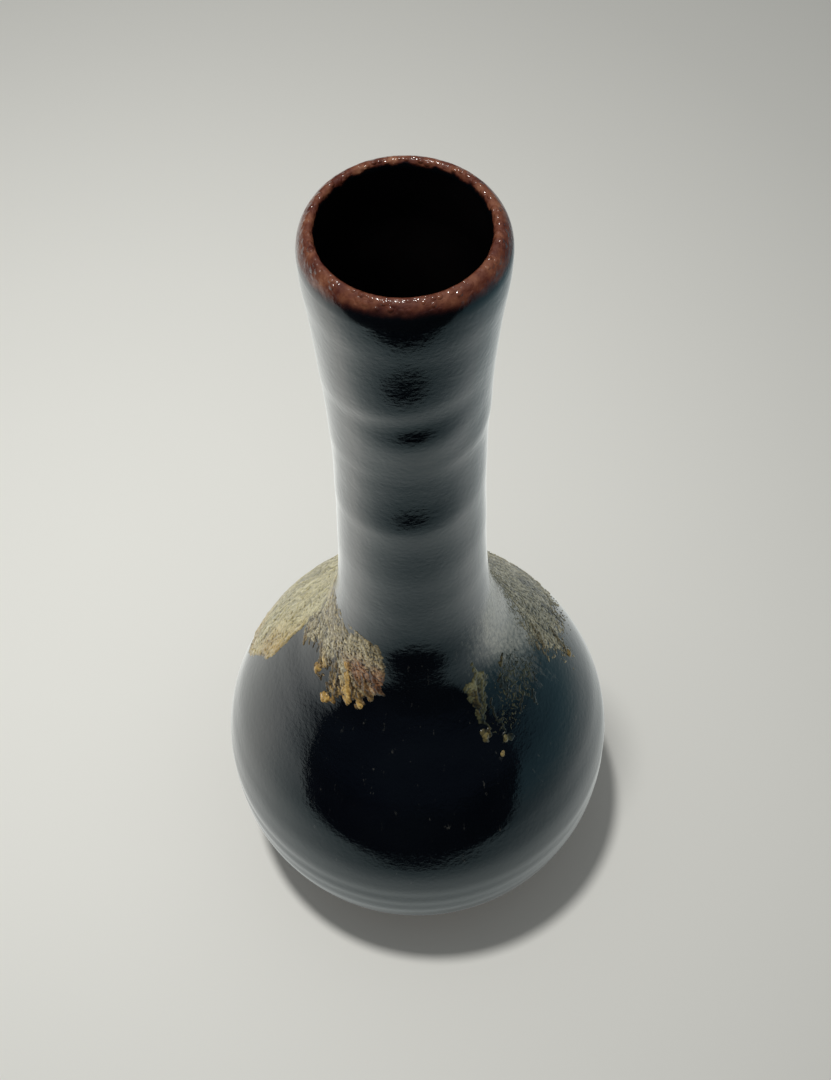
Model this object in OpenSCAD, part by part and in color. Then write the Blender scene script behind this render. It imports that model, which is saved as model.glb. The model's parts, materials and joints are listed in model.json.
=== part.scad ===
// Crane-neck sake bottle in stoneware: a round thrown belly on a low foot ring, and a long neck that
// narrows in the middle and opens a little at a rounded lip. The fired clay carries a dark glaze
// outside and inside, an iron-brown lip, and ash that melted onto the shoulder in crusts and drops.
// The bottle stands on z = 0 with its axis on Z. Its front faces -Y. All sizes are in millimetres.

/* [Overall] */
// Height from the standing surface to the crest of the lip
height = 215; // [205:1:230]
// Widest diameter of the belly
belly_d = 90; // [84:1:98]
// Height of the widest point of the belly
belly_z = 40; // [37:1:44]

/* [Neck] */
// Diameter of the neck at its waist
waist_d = 29; // [27:0.5:31]
// Height of the waist of the neck
waist_z = 156; // [146:1:162]
// Diameter across the outside of the lip
mouth_d = 35.5; // [34:0.5:37]
// Height at which the shoulder has become the neck
neck_z = 104; // [98:1:108]
// Inside diameter of the straight throat under the lip
throat_d = 28.5; // [26:0.5:29.5]
// Length of the straight throat
throat_len = 12; // [8:1:16]

/* [Foot] */
// Outside diameter of the foot ring where it meets the belly
foot_d = 51; // [47:1:55]
// Height of the foot ring
foot_h = 4; // [3:0.5:5]
// Width of the foot ring
foot_w = 4.5; // [3.5:0.5:6]

/* [Walls] */
// Wall of the belly, coats included
belly_wall = 4.5; // [4:0.1:5.5]
// Wall of the neck, coats included
neck_wall = 3; // [2.6:0.1:3.4]
// Thickness of the belly's floor inside the foot ring
floor_t = 5; // [4:0.5:6]

/* [Coats] */
// Thickness of the glaze, outside and inside
glaze_t = 0.5; // [0.4:0.1:0.7]
// Height of the line above the foot where the outer glaze stops
glaze_z = 8; // [6:0.5:12]
// How far below the crest of the lip the iron-brown band ends
band_h = 5; // [4:0.5:7]
// Thickness of the melted ash that lies on the glaze
ash_t = 0.6; // [0.4:0.1:0.8]
// Radius of the glassy drops at the ends of the ash runs
drop_r = 1.1; // [0.9:0.1:1.4]

/* [Hidden] */
$fn = 96;

// Radii and heights that follow from the driving dimensions
belly_r = belly_d / 2;
waist_r = waist_d / 2;
mouth_r = mouth_d / 2;
throat_r = throat_d / 2;
foot_r = foot_d / 2;
// The lip is half a circle as thick as the wall between throat and outside
lip_r = (mouth_r - throat_r) / 2;
lip_z = height - lip_r;
band_z = height - band_h;
cavity_z = foot_h + floor_t;
// The wall is in two lengths of clay, joined at the root of the neck
joint_z = neck_z - 8;

// The ash lies between these heights of the shoulder
ash_low_z = 48;
ash_high_z = joint_z + 8;
// Largest spacing of the points along the thrown outline
step_z = 3.6;
// Height at which the straight throat starts, and at which the neck's wall turns towards it
throat_low_z = lip_z - throat_len;
throat_turn_z = throat_low_z - 6;

// Height of a point of the shoulder, as a share of the rise from the belly's widest point to the neck
function rise(share) = belly_z + share * (neck_z - belly_z);
// Radius of a point of the shoulder, as a share of the step from the waist out to the belly
function step_out(share) = waist_r + share * (belly_r - waist_r);

// The thrown outline of the glazed bottle, as [height, radius], from the foot up to the lip
KNOTS = [
    [foot_h, foot_r + glaze_t],
    [0.25 * belly_z, 0.725 * belly_r],
    [0.45 * belly_z, 0.87 * belly_r],
    [0.70 * belly_z, 0.97 * belly_r],
    [belly_z, belly_r],
    [rise(0.11), step_out(0.99)],
    [rise(0.22), step_out(0.935)],
    [rise(0.34), step_out(0.83)],
    [rise(0.46), step_out(0.68)],
    [rise(0.58), step_out(0.50)],
    [rise(0.69), step_out(0.33)],
    [rise(0.82), step_out(0.17)],
    [neck_z, step_out(0.075)],
    [neck_z + 12, step_out(0.03)],
    [0.55 * neck_z + 0.45 * waist_z, step_out(0.015)],
    [waist_z, waist_r],
    [0.6 * waist_z + 0.4 * lip_z, 0.75 * waist_r + 0.25 * mouth_r],
    [0.25 * waist_z + 0.75 * lip_z, 0.3 * waist_r + 0.7 * mouth_r],
    [lip_z - 6, mouth_r - 0.2],
    [lip_z, mouth_r]
];
LAST = len(KNOTS) - 1;

// The belly's widest point is this knot
WIDEST = 4;

// Slope of the outline at a knot, and the stretch between knots that holds a height
function knot_slope(i) =
    i == LAST || i == WIDEST ? 0 :
    let (a = KNOTS[max(i - 1, 0)], b = KNOTS[i + 1])
    (b[1] - a[1]) / (b[0] - a[0]);
function stretch_at(z, i = 0) = (i == LAST - 1 || z < KNOTS[i + 1][0]) ? i : stretch_at(z, i + 1);

// Outside radius at a height: a smooth cubic through the knots
function radius_at(z) =
    let (
        i = stretch_at(z),
        a = KNOTS[i],
        b = KNOTS[i + 1],
        span = b[0] - a[0],
        t = (z - a[0]) / span
    )
    a[1] * (1 + 2 * t) * pow(1 - t, 2) + b[1] * t * t * (3 - 2 * t)
    + span * knot_slope(i) * t * pow(1 - t, 2) + span * knot_slope(i + 1) * t * t * (t - 1);

function slope_at(z) =
    let (low = max(z - 0.2, foot_h), high = min(z + 0.2, lip_z))
    (radius_at(high) - radius_at(low)) / (high - low);

// Point of the outline at a height, moved by depth along the surface normal into the wall
function skin_point(z, depth) =
    let (slope = slope_at(z), n = sqrt(1 + slope * slope))
    [radius_at(z) - depth / n, z + depth * slope / n];

// Whole wall, coats included, at a height
function wall_at(z) = lookup(z, [[belly_z, belly_wall], [neck_z, neck_wall], [lip_z, neck_wall]]);

// All coats and clay share these heights, so that they meet face to face
BREAKS = [foot_h, glaze_z, ash_low_z, joint_z, ash_high_z, throat_turn_z, throat_low_z, band_z, lip_z];
STATIONS = [
    for (i = [0 : len(BREAKS) - 2])
        let (span = BREAKS[i + 1] - BREAKS[i], n = ceil(span / step_z))
        for (j = [0 : n - 1]) BREAKS[i] + span * j / n,
    lip_z
];
function heights(low, high) = [for (z = STATIONS) if (z >= low && z <= high) z];

function reversed(list) = [for (i = [len(list) - 1 : -1 : 0]) list[i]];

// Outside of the bottle between two heights, sunk to one depth
function outside(low, high, depth) = [for (z = heights(low, high)) skin_point(z, depth)];

// Inside of the wall between two heights, with cover laid over the clay
function inside(low, high, cover) = [for (z = heights(low, high)) skin_point(z, wall_at(z) - cover)];

// Half circle over the lip from the outside in, sunk to one depth
function lip_arc(depth) =
    [for (a = [0 : 15 : 180])
        [mouth_r - lip_r + (lip_r - depth) * cos(a), lip_z + (lip_r - depth) * sin(a)]];

// The straight throat, from its bottom up, with cover laid over the clay
function throat(cover) = [[throat_r + glaze_t - cover, throat_low_z], [throat_r + glaze_t - cover, lip_z]];

// Closed smooth loop through the given points, with parts pieces between each two
function smooth_loop(pts, parts = 4) =
    let (n = len(pts))
    [for (i = [0 : n - 1], j = [0 : parts - 1])
        let (
            t = j / parts,
            p0 = pts[(i + n - 1) % n],
            p1 = pts[i],
            p2 = pts[(i + 1) % n],
            p3 = pts[(i + 2) % n]
        )
        0.5 * (2 * p1 + (p2 - p0) * t + (2 * p0 - 5 * p1 + 4 * p2 - p3) * t * t
               + (3 * p1 - p0 - 3 * p2 + p3) * t * t * t)];

// Plan point from a bearing in degrees (0 at +X, 270 at the front) and a share of the belly's radius
function plan(bearing, share) = belly_r * share * [cos(bearing), sin(bearing)];

// Outlines of the four ash deposits as seen from above, as [bearing, share of the belly's radius]
LEFT_ASH = [
    [100, 0.43], [99, 0.62], [107, 0.80], [120, 0.90], [135, 0.94], [150, 0.94], [160, 0.93], [166, 0.91],
    [172, 0.82], [177, 0.74], [176, 0.67], [174, 0.60], [169, 0.55], [166, 0.50], [163, 0.41], [140, 0.40],
    [120, 0.40]
];
FRONT_LEFT_ASH = [
    [167, 0.41], [170, 0.50], [173, 0.54], [179, 0.545], [185, 0.515], [191, 0.47], [198, 0.475], [204, 0.46],
    [210, 0.435], [214, 0.47], [217, 0.50], [222, 0.505], [227, 0.46], [234, 0.45], [241, 0.45], [247, 0.425],
    [249, 0.40], [245, 0.385], [230, 0.385], [213, 0.39], [200, 0.385], [185, 0.39]
];
RIGHT_ASH = [
    [64, 0.50], [63, 0.68], [56, 0.80], [44, 0.86], [32, 0.85], [22, 0.80], [14, 0.77], [8, 0.74],
    [3, 0.73], [359, 0.69], [356, 0.63], [357, 0.56], [4, 0.51], [15, 0.49], [28, 0.48], [46, 0.47]
];
FRONT_RIGHT_ASH = [
    [317, 0.455], [313, 0.475], [309, 0.50], [308, 0.53], [304.5, 0.56], [301, 0.545], [301.5, 0.51],
    [302, 0.47], [302, 0.44], [306, 0.42], [312, 0.425], [316, 0.435]
];
// Places of the glassy drops that ran ahead of the ash, as bearing and share
DROPS = [
    [203, 0.51], [217, 0.545], [229, 0.50], [237, 0.49], [302, 0.605], [310, 0.655], [306, 0.69], [4, 0.78]
];

// Solid of revolution between the outline sunk to one depth and the outline sunk to another
module coat(low, high, top_depth, bottom_depth) {
    rotate_extrude()
        polygon(concat(outside(low, high, top_depth), reversed(outside(low, high, bottom_depth))));
}

// Ring of clay that the bottle stands on, with its edges eased
module foot_ring() {
    ease = 0.8;
    color("#6e5140")
    rotate_extrude()
        polygon([
            [foot_r - foot_w, foot_h],
            [foot_r - foot_w, ease],
            [foot_r - foot_w + ease, 0],
            [foot_r - 2 * ease, 0],
            [foot_r - ease, ease],
            [foot_r, foot_h]
        ]);
}

// Lower length of clay: floor, belly and shoulder, up to the root of the neck
module clay_belly() {
    cavity = inside(foot_h, joint_z, glaze_t);
    shell = [for (p = cavity) if (p[1] > cavity_z - glaze_t) p];
    color("#7a5a46")
    rotate_extrude()
        polygon(concat(
            [[0, foot_h], [foot_r, foot_h]],
            [for (p = outside(foot_h, joint_z, glaze_t)) if (p[1] > foot_h + 1) p],
            reversed(shell),
            [[shell[0][0] - 1, cavity_z - glaze_t], [0, cavity_z - glaze_t]]
        ));
}

// Upper length of clay: the neck, with the straight throat and the rounded lip
module clay_neck() {
    color("#7a5a46")
    rotate_extrude()
        polygon(concat(
            outside(joint_z, lip_z, glaze_t),
            lip_arc(glaze_t),
            reversed(throat(0)),
            reversed(inside(joint_z, throat_turn_z, glaze_t))
        ));
}

// Dark glaze over the outside, from the line above the foot up to the band at the lip
module outer_glaze() {
    color("#15181b")
    coat(glaze_z, band_z, 0, glaze_t);
}

// Iron-brown band where the glaze ran thin, from the outside over the crest to the throat
module lip_band() {
    color("#5b2c1e")
    rotate_extrude()
        polygon(concat(
            outside(band_z, lip_z, 0),
            lip_arc(0),
            reversed(lip_arc(glaze_t)),
            reversed(outside(band_z, lip_z, glaze_t))
        ));
}

// Glaze that lines the throat, the neck and the cavity of the belly
module inner_glaze() {
    clay_side = inside(foot_h, joint_z, glaze_t);
    air_side = inside(foot_h, joint_z, 0);
    clay_wall = [for (p = clay_side) if (p[1] > cavity_z - glaze_t) p];
    air_wall = [for (p = air_side) if (p[1] > cavity_z) p];
    color("#1b1613")
    rotate_extrude()
        polygon(concat(
            [[0, cavity_z - glaze_t], [clay_wall[0][0] - 1, cavity_z - glaze_t]],
            clay_wall,
            inside(joint_z, throat_turn_z, glaze_t),
            throat(0),
            reversed(throat(glaze_t)),
            reversed(inside(joint_z, throat_turn_z, 0)),
            reversed(air_wall),
            [[air_wall[0][0] - 1, cavity_z], [0, cavity_z]]
        ));
}

// Crust of melted ash on the shoulder, inside an outline seen from above
module ash_crust(outline) {
    intersection() {
        coat(ash_low_z, ash_high_z, -ash_t, 0);
        linear_extrude(height)
            polygon(smooth_loop([for (p = outline) plan(p[0], p[1])]));
    }
}

module ash_left_shoulder() {
    color("#bdb58c")
    ash_crust(LEFT_ASH);
}

module ash_front_left() {
    color("#b59a62")
    ash_crust(FRONT_LEFT_ASH);
}

module ash_right_shoulder() {
    color("#a8a27e")
    ash_crust(RIGHT_ASH);
}

module ash_front_right() {
    color("#98905a")
    ash_crust(FRONT_RIGHT_ASH);
}

// Height of the upper shoulder at a distance from the axis, found by halving
function shoulder_z(r, low = belly_z, high = neck_z, turns = 24) =
    let (mid = (low + high) / 2)
    turns == 0 ? mid :
    radius_at(mid) > r ? shoulder_z(r, mid, high, turns - 1) : shoulder_z(r, low, mid, turns - 1);

// One glassy drop: a low dome on a flat base
module drop() {
    rotate_extrude($fn = 32)
        polygon(concat([[0, 0]], [for (a = [0 : 15 : 90]) drop_r * [cos(a), 0.6 * sin(a)]]));
}

// Glassy drops, each standing square on the slope of the shoulder
module ash_drops() {
    color("#b08a3c")
    for (d = DROPS) {
        z = shoulder_z(belly_r * d[1]);
        sit = skin_point(z, 0);
        rotate([0, 0, d[0]])
            translate([sit[0], 0, sit[1]])
                rotate([0, atan2(1, -slope_at(z)), 0])
                    drop();
    }
}

foot_ring();
clay_belly();
clay_neck();
outer_glaze();
lip_band();
inner_glaze();
ash_left_shoulder();
ash_front_left();
ash_right_shoulder();
ash_front_right();
ash_drops();
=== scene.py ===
"""Crane-neck sake bottle: the glaze, lip, clay and melted ash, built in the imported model's frame."""
import json
import math

import bpy
import numpy as np
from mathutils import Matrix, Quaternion, Vector


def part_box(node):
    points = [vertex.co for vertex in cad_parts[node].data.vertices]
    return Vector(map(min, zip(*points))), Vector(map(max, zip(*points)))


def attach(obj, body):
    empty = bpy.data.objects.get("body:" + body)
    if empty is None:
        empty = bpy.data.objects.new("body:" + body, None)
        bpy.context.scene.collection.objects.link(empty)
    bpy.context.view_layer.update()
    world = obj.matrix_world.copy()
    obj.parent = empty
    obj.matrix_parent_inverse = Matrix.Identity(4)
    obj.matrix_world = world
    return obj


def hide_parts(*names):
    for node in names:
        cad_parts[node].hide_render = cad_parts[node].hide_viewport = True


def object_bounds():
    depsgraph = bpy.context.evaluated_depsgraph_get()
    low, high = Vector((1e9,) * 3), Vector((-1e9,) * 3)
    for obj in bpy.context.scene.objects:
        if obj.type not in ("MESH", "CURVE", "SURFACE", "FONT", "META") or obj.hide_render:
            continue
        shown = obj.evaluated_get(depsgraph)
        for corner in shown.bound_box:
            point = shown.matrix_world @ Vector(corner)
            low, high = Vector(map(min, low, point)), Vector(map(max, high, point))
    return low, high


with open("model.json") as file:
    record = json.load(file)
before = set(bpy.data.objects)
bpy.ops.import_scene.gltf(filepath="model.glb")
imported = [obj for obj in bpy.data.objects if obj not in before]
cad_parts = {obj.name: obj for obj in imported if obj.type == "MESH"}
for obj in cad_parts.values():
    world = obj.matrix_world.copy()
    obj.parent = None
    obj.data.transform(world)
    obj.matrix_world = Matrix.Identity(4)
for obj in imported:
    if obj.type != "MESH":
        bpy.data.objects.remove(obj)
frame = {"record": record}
cad_low, cad_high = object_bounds()

# ------------------------------------------------------------------ sizes, in millimetres, from the frame
MM = 0.001


def size_mm(metres):
    """A length of the frame in millimetres, to the nearest twentieth."""
    return round(metres / MM * 20) / 20


def top_of(node):
    return size_mm(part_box(node)[1].z)


def bottom_of(node):
    return size_mm(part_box(node)[0].z)


def radius_of(node):
    return size_mm(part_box(node)[1].x)


HEIGHT = size_mm(cad_high.z)
BELLY_R = radius_of("outer_glaze")
MOUTH_R = radius_of("lip_band")
FOOT_R = radius_of("foot_ring")
FOOT_H = top_of("foot_ring")
GLAZE_Z = bottom_of("outer_glaze")
BAND_Z = bottom_of("lip_band")
MOUTHS = {m["name"]: m for m in frame["record"]["mounts"]}
THROAT_R = MOUTHS["mouth"]["dims"]["r_mm"]
THROAT_LEN = MOUTHS["mouth"]["dims"]["length_mm"]
# thickness of the coats, and the thrown outline's own sizes, as the frame was made with
GLAZE_T = 0.5
CAVITY_Z = bottom_of("inner_glaze") + GLAZE_T
FOOT_W = 4.5
BELLY_Z = 40.0
WAIST_R = 14.5
WAIST_Z = 156.0
NECK_Z = 104.0
JOINT_Z = NECK_Z - 8
BELLY_WALL = 4.5
NECK_WALL = 3.0
LIP_R = (MOUTH_R - THROAT_R) / 2
LIP_Z = HEIGHT - LIP_R


# ------------------------------------------------------------------ the thrown outline
def rise(share):
    """Height on the shoulder, as a share of the way from the belly's widest point to the neck."""
    return BELLY_Z + share * (NECK_Z - BELLY_Z)


def step_out(share):
    """Radius on the shoulder, as a share of the way from the waist of the neck out to the belly."""
    return WAIST_R + share * (BELLY_R - WAIST_R)


KNOTS = np.array([
    (FOOT_H, FOOT_R + GLAZE_T),
    (0.25 * BELLY_Z, 0.725 * BELLY_R),
    (0.45 * BELLY_Z, 0.87 * BELLY_R),
    (0.70 * BELLY_Z, 0.97 * BELLY_R),
    (BELLY_Z, BELLY_R),
    (rise(0.11), step_out(0.99)),
    (rise(0.22), step_out(0.935)),
    (rise(0.34), step_out(0.83)),
    (rise(0.46), step_out(0.68)),
    (rise(0.58), step_out(0.50)),
    (rise(0.69), step_out(0.33)),
    (rise(0.82), step_out(0.17)),
    (NECK_Z, step_out(0.075)),
    (NECK_Z + 12, step_out(0.03)),
    (0.55 * NECK_Z + 0.45 * WAIST_Z, step_out(0.015)),
    (WAIST_Z, WAIST_R),
    (0.6 * WAIST_Z + 0.4 * LIP_Z, 0.75 * WAIST_R + 0.25 * MOUTH_R),
    (0.25 * WAIST_Z + 0.75 * LIP_Z, 0.3 * WAIST_R + 0.7 * MOUTH_R),
    (LIP_Z - 6, MOUTH_R - 0.2),
    (LIP_Z, MOUTH_R),
])
WIDEST = 4
KNOT_SLOPES = np.zeros(len(KNOTS))
KNOT_SLOPES[0] = (KNOTS[1, 1] - KNOTS[0, 1]) / (KNOTS[1, 0] - KNOTS[0, 0])
KNOT_SLOPES[1:-1] = (KNOTS[2:, 1] - KNOTS[:-2, 1]) / (KNOTS[2:, 0] - KNOTS[:-2, 0])
KNOT_SLOPES[WIDEST] = 0.0


def radius_at(z):
    """Outside radius at heights z: the same cubic through the knots as the frame has."""
    z = np.clip(z, KNOTS[0, 0], KNOTS[-1, 0])
    i = np.clip(np.searchsorted(KNOTS[:, 0], z, side="right") - 1, 0, len(KNOTS) - 2)
    span = KNOTS[i + 1, 0] - KNOTS[i, 0]
    t = (z - KNOTS[i, 0]) / span
    return (KNOTS[i, 1] * (1 + 2 * t) * (1 - t) ** 2 + KNOTS[i + 1, 1] * t * t * (3 - 2 * t)
            + span * KNOT_SLOPES[i] * t * (1 - t) ** 2 + span * KNOT_SLOPES[i + 1] * t * t * (t - 1))


def slope_at(z):
    reach = 0.2
    high = np.minimum(z + reach, LIP_Z)
    low = np.maximum(z - reach, FOOT_H)
    return (radius_at(high) - radius_at(low)) / (high - low)


def wall_at(z):
    return np.interp(z, [BELLY_Z, NECK_Z, LIP_Z], [BELLY_WALL, NECK_WALL, NECK_WALL])


# ------------------------------------------------------------------ noise
def noise3(points, seed):
    """Smooth gradient noise, about -1 to 1, at an array of points whose last axis is x, y, z."""
    rng = np.random.default_rng(seed)
    order = rng.permutation(256)
    grads = rng.normal(size=(256, 3))
    grads /= np.linalg.norm(grads, axis=1, keepdims=True)
    cell = np.floor(points).astype(int)
    f = points - cell
    u = f * f * f * (f * (f * 6 - 15) + 10)
    total = np.zeros(points.shape[:-1])
    for corner in np.ndindex(2, 2, 2):
        h = np.zeros(points.shape[:-1], int)
        w = np.ones(points.shape[:-1])
        for axis in range(3):
            h = order[(h + cell[..., axis] + corner[axis]) & 255]
            w = w * (u[..., axis] if corner[axis] else 1 - u[..., axis])
        total += w * (grads[h] * (f - np.array(corner))).sum(-1)
    return total * 1.6


def fbm(points, seed, octaves=4, gain=0.5):
    """Noise summed over octaves, about -1 to 1."""
    total, size, weight = 0.0, 1.0, 0.0
    for k in range(octaves):
        total = total + size * noise3(points * 2.0 ** k, seed + k)
        weight += size
        size *= gain
    return total / weight


def on_round(bearing, z, around, along):
    """Noise coordinates on the round of the bottle, with around and along features per turn and mm."""
    a = np.radians(bearing)
    return np.stack(np.broadcast_arrays(np.cos(a) * around, np.sin(a) * around, z * along), -1)


def smooth(low, high, x):
    """0 below low, 1 above high, and a smooth step between."""
    t = np.clip((x - low) / (high - low), 0, 1)
    return t * t * (3 - 2 * t)


# ------------------------------------------------------------------ what the potter's hands left
# Swells of the neck and belly, each on a slow spiral: bearing and height of its crest in the middle,
# climb per turn, swell, how far it falls off below and above, and its spread in degrees
SWELLS = [
    (267, 187.8, 14, 0.68, 4.8, 8.4, 42),
    (277, 177.0, 14, 0.86, 7.0, 5.6, 36),
    (215, 183.6, 24, 0.12, 2.0, 7.0, 50),
    (200, 164.8, 20, 0.12, 2.0, 7.0, 60),
    (240, 147.6, 12, 0.14, 2.2, 5.0, 60),
    (322, 170.0, 18, 0.24, 2.6, 5.0, 40),
    (330, 154.0, 18, 0.10, 6.0, 7.0, 70),
    (272, 147.8, 12, 0.46, 5.5, 6.0, 45),
    (270, 131.0, 14, 0.06, 4.0, 5.0, 200),
    (250, 118.0, 12, 0.05, 3.0, 4.0, 200),
    (60, 172.0, 18, 0.14, 3.0, 5.0, 90),
    (100, 140.0, 18, 0.12, 3.0, 6.0, 90),
    (271, 97.0, 0, 0.95, 25.0, 8.5, 50),
    (268, 50.6, 0, 0.20, 6.0, 4.4, 28),
]
# How the wall turns in under the lip: from which height it stops opening, and the last round-over
FLARE_END = 204.0
FLARE_LOSS = 0.035
ROUND_Z = 209.0
ROUND_IN = 0.6
# How far the mouth stands out of round, and between which heights that begins
OVAL = 0.40
OVAL_Z = (192, 210)
# Throwing lines, and how far the belly keeps inside its widest circle
LINE_PITCH = 3.4
LINE_DEPTH = 0.003
BELLY_MARGIN = 0.06
# Rings of the belly: height at the front, depth of the hollow, half width, and tilt across the bottle
HOLLOWS = [
    (41.2, 0.17, 1.9, 0.8),
    (35.6, 0.17, 2.0, 0.6),
    (48.5, 0.10, 2.2, -1.0),
    (55.5, 0.07, 2.4, 0.8),
    (28.5, 0.12, 2.5, 0.5),
    (21.0, 0.09, 2.2, -0.5),
    (63.0, 0.05, 2.6, 0.6),
]


def around(bearing, centre):
    """Degrees from centre, from -180 to 180."""
    return (bearing - centre + 180) % 360 - 180


def turn_in(z):
    """How far the wall under the lip stands inside the thrown outline."""
    past = z - FLARE_END
    loss = FLARE_LOSS * 0.5 * (past + np.sqrt(past * past + 0.6)) * smooth(FLARE_END - 4, FLARE_END, z)
    return loss + ROUND_IN * np.clip((z - ROUND_Z) / (LIP_Z - ROUND_Z), 0, 1) ** 3


def oval(bearing):
    """How far the hand-made mouth stands out of round, on its right side."""
    return OVAL * np.exp(-(around(bearing, 0) / 62.0) ** 2)


def relief(bearing, z):
    """How far the surface stands off the thrown outline, in millimetres."""
    out = np.zeros(np.broadcast(bearing, z).shape)
    for centre, crest, climb, swell, below, above, spread in SWELLS:
        turn = around(bearing, centre)
        d = z - crest - climb * turn / 360
        reach = np.where(d < 0, below, above)
        out += swell * np.exp(-(d / reach) ** 2) * np.exp(-(turn / spread) ** 2)
    for height, depth, width, tilt in HOLLOWS:
        d = z - height - tilt * np.sin(np.radians(bearing - 200))
        strength = 0.75 + 0.25 * np.sin(np.radians(bearing * 2 + height * 9))
        out -= depth * strength * np.exp(-(d / width) ** 2)
    # fine throwing lines, and the soft unevenness of a hand-made wall
    spiral = 2 * math.pi * (z / LINE_PITCH + bearing / 360)
    out += LINE_DEPTH * np.sin(spiral) * smooth(12, 30, z)
    out += 0.05 * noise3(on_round(bearing, z, 1.6, 0.06), 11)
    out += 0.012 * noise3(on_round(bearing, z, 6.0, 0.25), 12)
    # quiet towards the lip and the foot, and inside the belly's widest circle
    out *= smooth(FOOT_H, 14, z) * (1 - smooth(LIP_Z - 3, LIP_Z, z))
    out += oval(bearing) * smooth(*OVAL_Z, z) - turn_in(z)
    below, above = smooth(BELLY_Z - 16, BELLY_Z - 6, z), smooth(BELLY_Z + 10, BELLY_Z + 22, z)
    return out - BELLY_MARGIN * below * (1 - above)


def skin(bearing, z, depth):
    """Points of the surface at bearings and heights, sunk by depth along the outline's normal."""
    slope = slope_at(z)
    n = np.sqrt(1 + slope * slope)
    r = radius_at(z) + relief(bearing, z) - depth / n
    a = np.radians(bearing)
    return np.stack(np.broadcast_arrays(r * np.cos(a), r * np.sin(a), z + depth * slope / n), -1)


# ------------------------------------------------------------------ meshes
def add_object(name, vertices, faces, material):
    """A smooth mesh object from points in millimetres."""
    mesh = bpy.data.meshes.new(name)
    mesh.from_pydata((vertices * MM).tolist(), [], faces)
    mesh.shade_smooth()
    mesh.validate()
    mesh.materials.append(material)
    obj = bpy.data.objects.new(name, mesh)
    bpy.context.scene.collection.objects.link(obj)
    return obj


def grid_faces(rows, cols, wrap_rows=False):
    """Quads of a grid of rows by cols points, closed round the columns, and round the rows if asked."""
    i, j = np.meshgrid(np.arange(rows if wrap_rows else rows - 1), np.arange(cols), indexing="ij")
    below, beside = (i + 1) % rows, (j + 1) % cols
    quads = np.stack([i * cols + j, i * cols + beside, below * cols + beside, below * cols + j], -1)
    return quads.reshape(-1, 4).tolist()


SEGMENTS = 448
BEARINGS = np.arange(SEGMENTS) * 360.0 / SEGMENTS


def capped_faces(rows, cols):
    """Faces of a closed form whose rows end in two points, which come after the grid's points."""
    first, final_row = rows * cols, (rows - 1) * cols
    faces = grid_faces(rows, cols)
    faces += [[first, (j + 1) % cols, j] for j in range(cols)]
    faces += [[first + 1, final_row + j, final_row + (j + 1) % cols] for j in range(cols)]
    return faces


def lathe(name, rings, material, poles=None):
    """Closed turned solid from rings (rows, segments, 3). With poles, the rows end in those two heights
    on the axis; without them, the last row joins the first."""
    rows, cols = rings.shape[:2]
    points = rings.reshape(-1, 3)
    faces = capped_faces(rows, cols) if poles else grid_faces(rows, cols, wrap_rows=True)
    if poles:
        points = np.vstack([points, [[0, 0, poles[0]], [0, 0, poles[1]]]])
    obj = add_object(name, points, faces, material)
    obj.data.set_sharp_from_angle(angle=math.radians(40))
    return obj


def ring(z, depth):
    """One ring of the skin at a height, or at one height per bearing, sunk by depth."""
    return skin(BEARINGS, z + np.zeros(SEGMENTS), depth)


def flat_ring(radius, z):
    """One ring on a true circle."""
    a = np.radians(BEARINGS)
    return np.stack([radius * np.cos(a), radius * np.sin(a), z + np.zeros_like(a)], -1)


def heights(low, high, step):
    """Even heights from low to high, about step apart."""
    return np.linspace(low, high, max(2, int(round(abs(high - low) / step)) + 1))


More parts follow.
